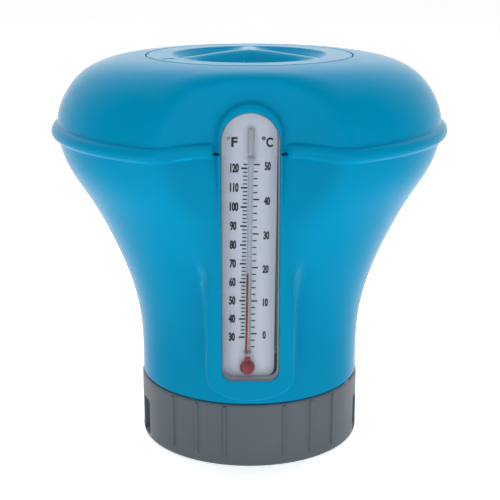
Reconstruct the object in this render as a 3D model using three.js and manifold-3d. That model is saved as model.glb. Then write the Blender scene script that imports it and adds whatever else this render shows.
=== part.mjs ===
// Floating chlorine dispenser with a thermometer: millimetres, +Z up, front towards -Y.
// The origin is on the float's axis, in the plane that the dispenser stands on.
import * as THREE from "three";
import { mergeVertices } from "three/addons/utils/BufferGeometryUtils.js";
import Module from "manifold-3d";

const wasm = await Module();
wasm.setup();

// ---- driving dimensions ----
const WALL = 2; // moulded wall
const GAP = 0.3; // clearance between neighbouring pieces
const COLLAR_TOP = 27.7;
const COLLAR_RADIUS = 47.5;
const PARTING = 134.6; // height of the joint between the two shells
const TOP = 165.4; // edge of the lid
const CROWN = 167.3; // hub of the lid's grip
const CHAMBER_RADIUS = 40.2; // bore of the tablet chamber, for 76 mm tablets
const OPENING_RADIUS = 40.6; // bore of the ring that the lid screws into
const LID_RADIUS = 42.86;
const SCOOP_FRONT = 58.5; // distance of the scoop's flat wall from the axis
const SCOOP_FLARE = 3.5e-4; // the wall curves forward with the cube of x
const SCOOP_FILLET = 7;
const POD_FRONT = 61.5; // face of the thermometer's frame
const PAD_FRONT = 60.3; // face of the pad below the scoop
const POCKET_BACK = 54; // floor of the thermometer's pocket
const LENS = { half: 11.05, bottom: 43.8, top: 150, corner: 4.5 };
const TUBE_Y = -58.2;
const TUBE_RADIUS = 1;
const BULB = { z: 48.4, radius: 3, depth: 1.8 };
const TUBE_TOP = 143;
const TUBE_LEAN = 0.96; // degrees
const LUG = { z: 152.5, height: 2.6, width: 10, reach: 42 };
const LID_TURN = 90; // degrees from shut to free
const LID_RISE = 9; // rise of the lid over that turn
const THREAD_STARTS = [30, 150, 270]; // directions of the lid's three lugs when it is shut
const NECK = { outer: 44.2, bottom: 147, seat: 161 }; // ring that the lid screws into
const RECESS_RADIUS = 43.3; // recess that the lid's rim lies in
const SOCKET = { inner: 44.5, outer: 46.3, bottom: 145.3, top: 156 }; // chamber's grip on the neck
const SKIRT = { inner: 42.7, outer: 44.9, bottom: 5.2 }; // slotted skirt inside the collar
const VENT_ANGLES = [75, 90, 105, 255, 270, 285]; // middles of the slots, in degrees from the front
const VENT_WIDTH = 12;
const COLLAR_AT_REST = 3; // the collar stands this many degrees from fully open
const COLLAR_TRAVEL = 48; // degrees from fully open to shut
const STOP = { angle: 180, width: 6, bottom: 24 }; // lug inside the collar that ends its travel

const material = (color, roughness, metalness = 0, opacity = 1) =>
  new THREE.MeshStandardMaterial({ color, roughness, metalness, opacity, transparent: opacity < 1 });
const BLUE = material(0x008db7, 0.25);
const GREY = material(0x6f777e, 0.4);
const RUBBER = material(0x1c1d1f, 0.8);
const PALE_SILICONE = material(0xcbd0d9, 0.7);
const WHITE = material(0xd9dbdc, 0.4);
const SILVER = material(0xb0b4c4, 0.45);
const DARK = material(0x20262b, 0.5);
const CLEAR = material(0xe8f2f6, 0.05, 0, 0.3);
const RED = material(0xb4202c, 0.3);
const STEEL = material(0xb9bcc0, 0.3, 1);

// ---- tools for solids ----
const rad = THREE.MathUtils.degToRad;

// A closed geometry as a solid that can be joined and cut.
function solid(geometry) {
  const bare = new THREE.BufferGeometry();
  bare.setAttribute("position", geometry.getAttribute("position"));
  if (geometry.index) bare.setIndex(geometry.index);
  const merged = mergeVertices(bare, 1e-4);
  const corners = merged.index.array;
  const faces = [];
  for (let i = 0; i < corners.length; i += 3) {
    const [a, b, c] = corners.slice(i, i + 3);
    if (a !== b && b !== c && c !== a) faces.push(a, b, c);
  }
  return new wasm.Manifold(
    new wasm.Mesh({
      numProp: 3,
      vertProperties: merged.getAttribute("position").array,
      triVerts: new Uint32Array(faces),
    }),
  );
}

const join = (first, ...others) => others.reduce((sum, other) => sum.add(other), first);
const cut = (first, ...tools) => tools.reduce((rest, tool) => rest.subtract(tool), first);

function piece(name, made, look) {
  const raw = made.getMesh();
  const geometry = new THREE.BufferGeometry();
  geometry.setAttribute("position", new THREE.BufferAttribute(raw.vertProperties, 3));
  geometry.setIndex(new THREE.BufferAttribute(raw.triVerts, 1));
  geometry.computeVertexNormals();
  const mesh = new THREE.Mesh(geometry, look);
  mesh.name = name;
  return mesh;
}

// A solid of revolution about Z from a closed outline of [radius, height] corners.
function turned(corners, segments = 36) {
  const area = corners.reduce((sum, [r, z], i) => {
    const [nextR, nextZ] = corners[(i + 1) % corners.length];
    return sum + r * nextZ - nextR * z;
  }, 0);
  const ordered = area > 0 ? corners : [...corners].reverse();
  const points = [...ordered, ordered[0]].map(([r, z]) => new THREE.Vector2(r, z));
  return solid(new THREE.LatheGeometry(points, segments).rotateX(Math.PI / 2));
}

const ring = (inner, outer, bottom, top, segments) =>
  turned([[inner, bottom], [outer, bottom], [outer, top], [inner, top]], segments);
const disc = (radius, bottom, top, segments) => ring(0, radius, bottom, top, segments);

// An upright outline, symmetric about x = 0, with round or square corners: a top corner as
// wide as the outline itself makes an arch.
function outline({ half, bottom, top, corner, topCorner = half }) {
  const shape = new THREE.Shape();
  const turn = (x, z, radius, quarter) => {
    const start = (quarter * Math.PI) / 2;
    if (radius > 0) shape.absarc(x, z, radius, start, start + Math.PI / 2, false);
    else shape.lineTo(x, z);
  };
  const low = bottom + corner;
  const high = top - topCorner;
  shape.moveTo(-half, low);
  turn(-half + corner, low, corner, 2);
  turn(half - corner, low, corner, 3);
  turn(half - topCorner, high, topCorner, 0);
  turn(-half + topCorner, high, topCorner, 1);
  shape.closePath();
  return shape;
}

// The outline as a slab between two distances in front of the axis.
function slab(size, front, back, curveSegments = 4) {
  const depth = front - back;
  const geometry = new THREE.ExtrudeGeometry(outline(size), { depth, bevelEnabled: false, curveSegments });
  return solid(geometry.rotateX(Math.PI / 2).translate(0, -back, 0));
}

const grown = (size, by) => ({
  half: size.half + by,
  bottom: size.bottom - by,
  top: size.top + by,
  corner: size.corner + by,
});

// Part of a ring: angles in degrees from the front, towards +X.
function sector(inner, outer, centre, width, bottom, top, curveSegments = 1) {
  const start = rad(centre - width / 2 - 90);
  const end = rad(centre + width / 2 - 90);
  const shape = new THREE.Shape();
  shape.absarc(0, 0, outer, start, end, false);
  shape.absarc(0, 0, inner, end, start, true);
  shape.closePath();
  const depth = top - bottom;
  const geometry = new THREE.ExtrudeGeometry(shape, { depth, bevelEnabled: false, curveSegments });
  return solid(geometry.translate(0, 0, bottom));
}

// A solid through closed sections, one behind the other, with a fan about the middle of each
// end. A section is listed the way that a right-hand screw turns as it moves to the next.
function swept(sections) {
  const count = sections[0].length;
  const faces = [];
  for (let s = 0; s + 1 < sections.length; s++)
    for (let i = 0; i < count; i++) {
      const next = (i + 1) % count;
      const [a, b, c, d] = [s * count + i, s * count + next, (s + 1) * count + next, (s + 1) * count + i];
      faces.push(a, b, c, a, c, d);
    }
  const middle = (section) => [0, 1, 2].map((axis) => section.reduce((sum, p) => sum + p[axis], 0) / count);
  const ends = [middle(sections[0]), middle(sections.at(-1))];
  const first = sections.length * count;
  const last = first - count;
  for (let i = 0; i < count; i++) {
    const next = (i + 1) % count;
    faces.push(first, next, i);
    faces.push(first + 1, last + i, last + next);
  }
  const corners = [...sections.flat(), ...ends].flat();
  const geometry = new THREE.BufferGeometry();
  geometry.setAttribute("position", new THREE.Float32BufferAttribute(corners, 3));
  return solid(geometry.setIndex(faces));
}

// A block of a coarse thread: it climbs as the lid does when it turns.
function threadBlock(inner, outer, centre, from, to, height) {
  const sections = [];
  const steps = Math.ceil((to - from) / 5);
  for (let s = 0; s <= steps; s++) {
    const turn = from + ((to - from) * s) / steps;
    const angle = rad(centre + turn - 90);
    const middle = LUG.z + (LID_RISE * turn) / LID_TURN;
    const at = (radius, z) => [radius * Math.cos(angle), radius * Math.sin(angle), z];
    const low = middle - height / 2;
    const high = middle + height / 2;
    sections.push([at(inner, low), at(inner, high), at(outer, high), at(outer, low)]);
  }
  return swept(sections);
}

// ---- the float's outer form ----
function spline(points) {
  return new THREE.SplineCurve(points.map(([r, z]) => new THREE.Vector2(r, z))).getPoints(90);
}

// Neck and flare, from the collar up to the brim.
const FLARE = spline([
  [47, COLLAR_TOP], [47, 40], [48, 55], [51.3, 70], [59, 90], [69.6, 110], [78, 125], [80.4, PARTING],
]);
// Dome, from the brim over the shoulder to the lid.
const DOME = spline([
  [80.4, PARTING], [79.8, 142.5], [76.8, 150], [70.8, 157.5], [62.3, 162.4], [48.4, 165], [43.3, TOP],
]);

// The same line moved inwards by a distance along its normal.
function inset(line, distance) {
  return line.map((point, i) => {
    const before = line[Math.max(i - 1, 0)];
    const after = line[Math.min(i + 1, line.length - 1)];
    const along = after.clone().sub(before).normalize();
    return new THREE.Vector2(point.x - along.y * distance, point.y + along.x * distance);
  });
}

function radiusOn(line, z) {
  const i = line.findIndex((point) => point.y >= z);
  if (i < 0) return line[line.length - 1].x;
  if (i === 0) return line[0].x;
  const [low, high] = [line[i - 1], line[i]];
  return THREE.MathUtils.mapLinear(z, low.y, high.y, low.x, high.x);
}

function smoothMin(a, b, width) {
  const blend = THREE.MathUtils.clamp(0.5 + (b - a) / (2 * width), 0, 1);
  return THREE.MathUtils.lerp(b, a, blend) - width * blend * (1 - blend);
}

// How far a point lies behind the scoop's upright wall.
function behindScoop(x, y) {
  const slope = 3 * SCOOP_FLARE * x * x;
  return (y + SCOOP_FRONT + SCOOP_FLARE * Math.abs(x) ** 3) / Math.hypot(1, slope);
}

// Radius of the scooped form in one direction, where its round outline has the radius given.
function scoopedRadius(angle, round, depth) {
  let low = round / 2;
  let high = round;
  for (let step = 0; step < 24; step++) {
    const r = (low + high) / 2;
    const wall = behindScoop(r * Math.sin(angle), -r * Math.cos(angle)) - depth;
    if (smoothMin(round - r, wall, SCOOP_FILLET) > 0) low = r;
    else high = r;
  }
  return low;
}

// Directions of the form's columns: close together over the scoop, wide apart elsewhere.
const SCOOP_SPAN = 35;
const COLUMNS = [];
for (let a = -SCOOP_SPAN; a < SCOOP_SPAN; a += 3.5) COLUMNS.push(rad(a));
for (let a = SCOOP_SPAN; a < 360 - SCOOP_SPAN; a += 10) COLUMNS.push(rad(a));

// A solid of the scooped form between the first and last height, moved inwards by a depth.
function form(line, heights, depth = 0, bead = () => 0) {
  const moved = depth ? inset(line, depth) : line;
  const sections = heights.map((z) =>
    COLUMNS.map((angle) => {
      const r = scoopedRadius(angle, radiusOn(moved, z), depth) + bead(angle, z);
      return [r * Math.sin(angle), -r * Math.cos(angle), z];
    }),
  );
  return swept(sections);
}

// Half-round bead along the brim, which ends short of the thermometer's frame.
const BEAD = { centre: 135.4, half: 3, proud: 2.5, start: rad(12), end: rad(14.5) };
function beadAt(angle, z) {
  const off = Math.abs(z - BEAD.centre) / BEAD.half;
  const front = Math.abs(angle > Math.PI ? angle - 2 * Math.PI : angle);
  const fade = THREE.MathUtils.smoothstep(front, BEAD.start, BEAD.end);
  return off < 1 ? fade * BEAD.proud * Math.sqrt(1 - off * off) : 0;
}

const evenly = (from, to, count) =>
  Array.from({ length: count }, (_, i) => THREE.MathUtils.lerp(from, to, i / (count - 1)));

// ---- the thermometer's pod, shared by both shells ----
const LOWER_RIM = PARTING - GAP / 2;
const UPPER_RIM = PARTING + GAP / 2;
const POCKET = grown(LENS, GAP);
const FRAME_LOWER = { ...grown(LENS, 1.6), topCorner: 0, top: LOWER_RIM };
const FRAME_UPPER = { half: 12.2, bottom: UPPER_RIM, top: 153.2, corner: 0 };
const pocket = slab(POCKET, POD_FRONT + 5, POCKET_BACK, 6);
const pocketWall = slab(grown(POCKET, WALL), PAD_FRONT - 1.3, POCKET_BACK - WALL, 6);
const belowParting = disc(100, 0, LOWER_RIM, 4);

// ---- casing ----
const FLANGE_DEPTH = 5; // the joint's flanges reach this far inwards
const FLANGE_HEIGHT = 2.6;
const GROOVE = { outer: 2.2, inner: 4, depth: 1.6 }; // for the seal, measured from the outside
const FLOOR_TOP = COLLAR_TOP + GAP + 2.5;

function lowerShell() {
  const pad = { half: 17.7, bottom: 35.2, top: 98, corner: 9, topCorner: 0 };
  const padInside = { half: pad.half - WALL, bottom: pad.bottom + WALL, top: 90, corner: 7, topCorner: 0 };
  const heights = [COLLAR_TOP + GAP, 46, 58, ...evenly(68, 126, 7), 132.4, 133.2, LOWER_RIM];
  const flangeBottom = LOWER_RIM - FLANGE_HEIGHT;
  const outside = join(form(FLARE, heights, 0, beadAt), slab(pad, PAD_FRONT, 40));
  const frame = slab(FRAME_LOWER, POD_FRONT, PAD_FRONT - 2);
  const inside = join(
    form(FLARE, [FLOOR_TOP, 50, ...evenly(64, flangeBottom, 5)], WALL),
    form(FLARE, [flangeBottom - 3, PARTING + 1], FLANGE_DEPTH),
    slab(padInside, PAD_FRONT - WALL, 30),
  );
  const groove = cut(
    form(FLARE, [LOWER_RIM - GROOVE.depth, PARTING + 1], GROOVE.outer),
    form(FLARE, [LOWER_RIM - GROOVE.depth - 1, PARTING + 2], GROOVE.inner),
  );
  const body = cut(join(outside, frame), inside, groove);
  const floor = ring(CHAMBER_RADIUS, 46, COLLAR_TOP + GAP, FLOOR_TOP);
  const socket = ring(CHAMBER_RADIUS + WALL + GAP, NECK.outer, COLLAR_TOP + 1, 36);
  const skirt = ring(SKIRT.inner, SKIRT.outer, SKIRT.bottom, COLLAR_TOP + 1);
  const windows = VENT_ANGLES.map((angle) => sector(40, 46, angle, VENT_WIDTH, 7.5, 20));
  const stopMiddle = STOP.angle + COLLAR_TRAVEL / 2;
  const stopSpan = COLLAR_TRAVEL + STOP.width + 1.5;
  const stopNotch = sector(43.6, 46, stopMiddle, stopSpan, STOP.bottom - 0.5, COLLAR_TOP + GAP, 4);
  const podBack = cut(pocketWall.intersect(belowParting), disc(47, 0, 200, 24));
  const joined = join(body, floor, socket, skirt, podBack);
  return cut(joined, pocket, stopNotch, disc(CHAMBER_RADIUS, 20, 40), ...windows);
}

function upperShell() {
  const heights = [UPPER_RIM, 135.4, 136.8, 137.9, 138.4, 143, 149, 154, 158, 161, 163, 164.4, TOP];
  const flangeTop = UPPER_RIM + FLANGE_HEIGHT;
  const inside = join(
    form(DOME, [PARTING - 1, flangeTop + 3], FLANGE_DEPTH),
    form(DOME, [flangeTop, 144, 150, 155, 159, 161.5, 162.6], WALL),
  );
  const frame = slab(FRAME_UPPER, POD_FRONT, PAD_FRONT - 4, 6);
  const flange = 46; // the neck widens to this radius where it meets the dome
  const neck = turned([
    [OPENING_RADIUS, NECK.bottom], [NECK.outer, NECK.bottom], [NECK.outer, 157], [flange, 160],
    [flange, TOP - 1], [RECESS_RADIUS, TOP - 1], [RECESS_RADIUS, NECK.seat], [OPENING_RADIUS, NECK.seat],
  ]);
  const grooves = THREAD_STARTS.map((angle) => {
    const end = LUG.width / 2 + 0.8;
    return threadBlock(OPENING_RADIUS - 1, LUG.reach + 0.4, angle, -end, LID_TURN + end, LUG.height + 0.8);
  });
  const recess = disc(RECESS_RADIUS, NECK.seat, TOP + 1);
  const body = cut(join(form(DOME, heights, 0, beadAt), frame), inside, recess);
  const podBack = cut(pocketWall, belowParting.translate([0, 0, GAP]));
  const opened = cut(join(body, neck, podBack), disc(OPENING_RADIUS, 140, TOP + 1));
  return cut(opened, pocket, ...grooves);
}

function shellSeal() {
  const heights = [LOWER_RIM - GROOVE.depth + GAP, LOWER_RIM];
  const outer = form(FLARE, heights, GROOVE.outer + GAP);
  const inner = form(FLARE, [heights[0] - 1, PARTING + 1], GROOVE.inner - GAP);
  return cut(outer, inner, slab(grown(POCKET, WALL + GAP), POD_FRONT, 40));
}

// ---- tablet chamber ----
const CHAMBER_OUTER = CHAMBER_RADIUS + WALL;
const CHAMBER_BOTTOM = 32;
function chamberTube() {
  const widens = [141, 144.5]; // the tube spreads into its socket between these heights
  return turned([
    [CHAMBER_RADIUS, CHAMBER_BOTTOM], [CHAMBER_OUTER, CHAMBER_BOTTOM], [CHAMBER_OUTER, widens[0]],
    [SOCKET.outer, widens[1]], [SOCKET.outer, SOCKET.top], [SOCKET.inner, SOCKET.top],
    [SOCKET.inner, SOCKET.bottom], [CHAMBER_RADIUS, SOCKET.bottom],
  ]);
}

function tabletGrate() {
  const floorTop = 2.6;
  const spokes = { count: 6, width: 3 };
  const slotRings = [[11, 19], [21, 29], [31, 38.6]]; // inner and outer radius of each ring of slots
  const floor = disc(44.8, 0, floorTop);
  const spigot = ring(OPENING_RADIUS, SKIRT.inner - GAP, floorTop - 0.5, 7.2);
  const pitch = 360 / spokes.count;
  const slots = slotRings.flatMap(([inner, outer]) => {
    const spokeAngle = THREE.MathUtils.radToDeg(spokes.width / ((inner + outer) / 2));
    const middles = Array.from({ length: spokes.count }, (_, i) => (i + 0.5) * pitch);
    return middles.map((angle) => sector(inner, outer, angle, pitch - spokeAngle, -1, floorTop + 1, 2));
  });
  return cut(join(floor, spigot), ...slots);
}

// ---- lid ----
// Height of the lid's top at a radius and an angle from the front. Spokes run to the back
// and 60 degrees to each side of the front, with a finger hollow between each two.
const HOLLOW_DEPTH = 7;
function lidHeight(r, angle) {
  const { smoothstep } = THREE.MathUtils;
  const third = (2 * Math.PI) / 3;
  const off = ((angle % third) + third) % third;
  const fromSpoke = r * Math.abs(Math.sin(off - third / 2));
  const crown = THREE.MathUtils.lerp(CROWN, TOP, smoothstep(r, 4, 34));
  const side = smoothstep(fromSpoke, 2.5, 8.5);
  const shore = 1 - smoothstep(r, 25, 30);
  return crown - HOLLOW_DEPTH * side * shore;
}

function refillLid() {
  const columns = Array.from({ length: 36 }, (_, i) => rad(10 * i));
  const radii = [2, 7, 12, 18, 25, 27.5, 30, 39];
  const skin = 2.2; // thickness of the cover
  const bottom = 162.6; // underside of the rim
  const at = (r, angle, z) => [r * Math.sin(angle), -r * Math.cos(angle), z];
  const level = (r, drop) => columns.map((angle) => at(r, angle, lidHeight(r, angle) - drop));
  const cover = swept([...radii.map((r) => level(r, skin)), ...[...radii].reverse().map((r) => level(r, 0))]);
  const rim = turned([[36, bottom], [LID_RADIUS, bottom], [LID_RADIUS, TOP - 0.4], [42.4, TOP], [36, TOP]]);
  const skirt = ring(38, OPENING_RADIUS - 0.7, 149, bottom + 0.4);
  const lugs = THREAD_STARTS.map((angle) =>
    threadBlock(39.5, LUG.reach, angle, -LUG.width / 2, LUG.width / 2, LUG.height),
  );
  return join(cover, rim, skirt, ...lugs);
}

// ---- collar ----
const RIB = { angles: [-45, -30, -15, 15, 30, 45], width: 1.35, proud: 0.8, bottom: 3.7, top: 25.5 };
const LEDGE = { inner: 43.2, bottom: 2.9, top: 4.9 }; // runs between the skirt and the grate
function ventCollar() {
  const inner = SKIRT.outer + GAP;
  const chamfer = 1.1;
  const shoulder = COLLAR_RADIUS - chamfer;
  const body = turned([
    [LEDGE.inner, LEDGE.bottom], [inner, LEDGE.bottom], [inner, GAP], [shoulder, GAP],
    [COLLAR_RADIUS, GAP + chamfer], [COLLAR_RADIUS, COLLAR_TOP - chamfer], [shoulder, COLLAR_TOP],
    [inner, COLLAR_TOP], [inner, LEDGE.top], [LEDGE.inner, LEDGE.top],
  ], 48);
  const ribs = RIB.angles.flatMap((angle) => [angle, angle + 180]).map((angle) => {
    const rib = new THREE.BoxGeometry(RIB.width, 2 * RIB.proud, RIB.top - RIB.bottom);
    return solid(rib.translate(0, -COLLAR_RADIUS, (RIB.top + RIB.bottom) / 2).rotateZ(rad(angle)));
  });
  const slots = VENT_ANGLES.map((angle) => sector(45, 49, angle, VENT_WIDTH, 2.2, 18));
  const stop = sector(44, inner + 0.4, STOP.angle, STOP.width, STOP.bottom, COLLAR_TOP);
  const made = cut(join(body, stop, ...ribs), ...slots);
  return made.rotate([0, 0, COLLAR_AT_REST]);
}

// ---- thermometer ----
const CARD = { half: 9.7, bottom: 44.9, top: 149, corner: 3.6 };
const CARD_FRONT = 56.3;
// The tube stands a little askew: it leans to the right and passes this point of the card.
const leaning = (made) => {
  const [x, z] = [-0.4, 96];
  return made.translate([0, 0, -z]).rotate([0, TUBE_LEAN, 0]).translate([x, 0, z]);
};

// A round tube whose lower end swells into the bulb, flattened a little from front to back.
function bulbed(tubeRadius, bulbRadius, bulbDepth, top) {
  const points = [new THREE.Vector2(0, BULB.z - bulbRadius)];
  const start = -Math.PI / 2;
  const end = Math.acos(tubeRadius / bulbRadius);
  for (let i = 1; i <= 7; i++) {
    const angle = THREE.MathUtils.lerp(start, end, i / 7);
    points.push(new THREE.Vector2(bulbRadius * Math.cos(angle), BULB.z + bulbRadius * Math.sin(angle)));
  }
  points.push(new THREE.Vector2(tubeRadius, top), new THREE.Vector2(0, top));
  const geometry = new THREE.LatheGeometry(points, 14).rotateX(Math.PI / 2);
  const place = geometry.getAttribute("position");
  for (let i = 0; i < place.count; i++) {
    const nearBulb = 1 - THREE.MathUtils.smoothstep(place.getZ(i), BULB.z + 2, BULB.z + 5);
    place.setY(i, place.getY(i) * THREE.MathUtils.lerp(1, bulbDepth / bulbRadius, nearBulb));
  }
  return solid(geometry.translate(0, TUBE_Y, 0));
}

const BORE = 0.65;
const GLASS = 0.4; // wall of the bulb
function capillaryTube() {
  const outside = bulbed(TUBE_RADIUS, BULB.radius, BULB.depth, TUBE_TOP);
  return leaning(cut(outside, bulbed(BORE, BULB.radius - GLASS, BULB.depth - GLASS, TUBE_TOP + 1)));
}

const SPIRIT_TOP = 87.2;
function indicatorSpirit() {
  const inset = GLASS + GAP;
  return leaning(bulbed(BORE - GAP, BULB.radius - inset, BULB.depth - inset, SPIRIT_TOP));
}

// A cap over the open end of the tube.
function tubeEndSleeve() {
  const [inner, outer] = [TUBE_RADIUS + GAP, TUBE_RADIUS + 0.6];
  const [bottom, ceiling, top] = [133.7, TUBE_TOP + 0.4, TUBE_TOP + 0.8];
  const corners = [[inner, bottom], [outer, bottom], [outer, top], [0, top], [0, ceiling], [inner, ceiling]];
  return leaning(turned(corners, 14).translate([0, TUBE_Y, 0]));
}

// A staple over the tube, with its two feet on the card.
function tubeClip(z) {
  const inner = TUBE_RADIUS + GAP;
  const outer = inner + 0.4;
  const front = -TUBE_Y + TUBE_RADIUS + GAP;
  const box = (width, near, far, height) =>
    solid(new THREE.BoxGeometry(width, near - far, height).translate(0, -(near + far) / 2, z));
  const whole = box(2 * outer, front + 0.4, CARD_FRONT + GAP, 1.2);
  return leaning(cut(whole, box(2 * inner, front, CARD_FRONT, 2)));
}

function thermometerTray() {
  const [front, floor, back] = [58.9, 55.4, POCKET_BACK + GAP];
  return cut(slab(LENS, front, back), slab(grown(LENS, -0.6), front + 1, floor));
}

function thermometerScale() {
  const bulbHole = new THREE.CylinderGeometry(3.8, 3.8, 4, 20).translate(-1.2, -CARD_FRONT, BULB.z);
  return cut(slab(CARD, CARD_FRONT, CARD_FRONT - 0.5), solid(bulbHole));
}

const thermometerLens = () => slab(LENS, POD_FRONT + 0.4, 60.3, 6);
const lensGasket = () => cut(slab(LENS, 60, 59.2), slab(grown(LENS, -0.8), 61, 58));

// ---- assembly ----
const dispenser = new THREE.Group();
const casing = new THREE.Group();
casing.add(
  piece("lower_shell", lowerShell(), BLUE),
  piece("upper_shell", upperShell(), BLUE),
  piece("shell_seal", shellSeal(), RUBBER),
);
const chamber = new THREE.Group();
chamber.add(
  piece("chamber_tube", chamberTube(), BLUE),
  piece("chamber_seal_upper", ring(41.2, 43.8, 145.6, 146.7), RUBBER),
  piece("chamber_seal_lower", ring(CHAMBER_RADIUS, 42, FLOOR_TOP + GAP, CHAMBER_BOTTOM - GAP), RUBBER),
  piece("tablet_grate", tabletGrate(), BLUE),
);
const thermometer = new THREE.Group();
thermometer.add(
  piece("thermometer_tray", thermometerTray(), DARK),
  piece("thermometer_scale", thermometerScale(), SILVER),
  piece("thermometer_lens", thermometerLens(), CLEAR),
  piece("lens_gasket", lensGasket(), PALE_SILICONE),
  piece("capillary_tube", capillaryTube(), CLEAR),
  piece("indicator_spirit", indicatorSpirit(), RED),
  piece("tube_clip_upper", tubeClip(132), STEEL),
  piece("tube_clip_lower", tubeClip(54.1), STEEL),
  piece("tube_end_sleeve", tubeEndSleeve(), WHITE),
);
const closure = new THREE.Group();
closure.add(
  piece("refill_lid", refillLid(), BLUE),
  piece("lid_seal", ring(40.9, 42.5, NECK.seat + GAP, NECK.seat + 1.3), RUBBER),
);
dispenser.add(casing, chamber, thermometer, closure, piece("vent_collar", ventCollar(), GREY));

export default dispenser;
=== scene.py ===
"""The looks of a floating chlorine dispenser with a thermometer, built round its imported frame.

Shapes are worked out in millimetres, +Z up, with the front towards -Y, and turned into metres
when a mesh is made. Directions round the axis are angles from the front towards +X.
"""
import math

import bmesh
import bpy
import numpy as np
from mathutils import Matrix, Vector


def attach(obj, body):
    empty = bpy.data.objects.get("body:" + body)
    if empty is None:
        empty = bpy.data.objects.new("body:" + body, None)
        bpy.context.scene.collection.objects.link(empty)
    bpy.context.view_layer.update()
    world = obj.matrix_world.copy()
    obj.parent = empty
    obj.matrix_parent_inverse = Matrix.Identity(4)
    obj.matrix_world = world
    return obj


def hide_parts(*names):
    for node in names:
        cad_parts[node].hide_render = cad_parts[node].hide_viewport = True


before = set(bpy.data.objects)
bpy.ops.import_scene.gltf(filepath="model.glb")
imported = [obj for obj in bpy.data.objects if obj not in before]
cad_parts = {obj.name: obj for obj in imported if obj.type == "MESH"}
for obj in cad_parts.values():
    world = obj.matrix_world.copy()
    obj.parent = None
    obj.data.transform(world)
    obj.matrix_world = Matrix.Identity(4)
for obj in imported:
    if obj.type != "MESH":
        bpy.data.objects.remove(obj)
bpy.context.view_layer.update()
scene = bpy.context.scene
MM = 0.001

# ---- driving dimensions: those of the CAD model, or close to them where the form is finer ----
WALL = 2.0
COLLAR_TOP = 27.7
COLLAR_RADIUS = 47.5
PARTING = 134.6
TOP = 165.4
CROWN = 167.3
CHAMBER_RADIUS = 40.2
OPENING_RADIUS = 40.6
LID_RADIUS = 42.86
RECESS_RADIUS = 43.3
NECK = {"outer": 44.2, "bottom": 147.0, "seat": 161.0}
SKIRT = {"inner": 42.7, "outer": 44.9, "bottom": 5.2}
WINDOW = {"inner": 39, "outer": 47, "bottom": 7.5, "top": 20}
COLLAR_SLOT = {"inner": 44.95, "outer": 50, "bottom": 2.2, "top": 18}
VENT_ANGLES = (75, 90, 105, 255, 270, 285)
VENT_WIDTH = 12  # degrees
COLLAR_AT_REST = 3  # degrees
STOP = {"angle": 180, "width": 6, "bottom": 24.0, "travel": 48}
NOTCH = {"inner": 43.6, "outer": 46, "bottom": 23.5, "top": 27.98, "play": 1.5}
THREAD_STARTS = (30, 150, 270)
LUG = {"z": 152.5, "height": 2.6, "width": 10.0, "reach": 42.0}
LID_TURN = 90
LID_RISE = 9.0
LENS = {"half": 11.05, "bottom": 43.8, "top": 150.0, "corner": 4.5, "front": 61.85, "back": 60.3}
POCKET = {"gap": 0.22, "front": 72, "back": 54}
CARD = {"left": -11.3, "right": 9.9, "bottom": 43.6, "top": 149.9, "front": 56.3, "corner": 4.2}
THERMOMETER_MIDDLE = 96  # height about which the card and the tube lean
TUBE_Y = -58.2
TUBE_RADIUS = 1.0
TUBE_LEAN = math.radians(0.96)
TUBE_OFFSET = -0.4  # of the tube's middle from the object's middle plane
TUBE_TOP = 143.0
BULB = {"z": 48.4, "radius": 3.0, "depth": 1.8}
SPIRIT_TOP = 87.2

# The float's outline: neck and flare up to the brim, then the dome up to the lid.
FLARE_POINTS = (
    (47, 27.7), (47, 40), (48, 55), (51.3, 70), (59, 90), (69.6, 110), (78, 125), (80.4, 134.6),
)
DOME_POINTS = (
    (80.4, 134.6), (79.8, 142.5), (76.8, 150), (70.8, 157.5), (62.3, 162.4), (52.5, 164.6),
    (43.3, 165.4),
)
SCOOP = {"front": 58.5, "flare": 3.5e-4, "fillet": 7.0, "lean": 0.075, "lean_end": 96.0}
BEAD = {"centre": 135.4, "half": 3.0, "proud": 2.5, "end": 13.4, "cap": 2.2}
PAD = {"front": 61.3, "half": 17.25, "bottom": 35.2, "bow": 9.8, "edge": 1.0}
PAD_FADE = (74, 96)  # heights between which the pad's edges go soft
PAD_RETREAT = {"from": 84, "over": 16, "depth": 3}  # its face curves back towards the flare
FRAME_RISE = (60, 90)  # heights between which the frame rises out of the pad
POD = {"front": 61.5, "lower_half": 12.4, "upper_half": 11.95, "foot": 50, "top": 153.2, "back": 51.0}
SEAM = {"gap": 0.04, "dip": 0.8, "rounding": 0.12, "width": 2.0}


# ---- numbers ----
def smoothstep(value, low, high):
    t = np.clip((value - low) / (high - low), 0, 1)
    return t * t * (3 - 2 * t)


def smooth_min(a, b, width):
    blend = np.clip(0.5 + (b - a) / (2 * width), 0, 1)
    return b + (a - b) * blend - width * blend * (1 - blend)


def smooth_max(a, b, width):
    return -smooth_min(-a, -b, width)


def smooth_line(points, count):
    """A curve of continuous curvature through the points, as count points evenly along it."""
    p = np.array(points, float)
    chord = np.r_[0, np.cumsum(np.linalg.norm(np.diff(p, axis=0), axis=1))]
    step = np.diff(chord)
    system = np.eye(len(p))
    wanted = np.zeros_like(p)
    for i in range(1, len(p) - 1):
        system[i, i - 1:i + 2] = step[i - 1], 2 * (step[i - 1] + step[i]), step[i]
        wanted[i] = 6 * ((p[i + 1] - p[i]) / step[i] - (p[i] - p[i - 1]) / step[i - 1])
    bend = np.linalg.solve(system, wanted)
    at = np.linspace(0, chord[-1], count)
    i = np.clip(np.searchsorted(chord, at) - 1, 0, len(p) - 2)
    a = ((chord[i + 1] - at) / step[i])[:, None]
    b = 1 - a
    square = (step[i] ** 2)[:, None] / 6
    return a * p[i] + b * p[i + 1] + ((a**3 - a) * bend[i] + (b**3 - b) * bend[i + 1]) * square


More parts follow.
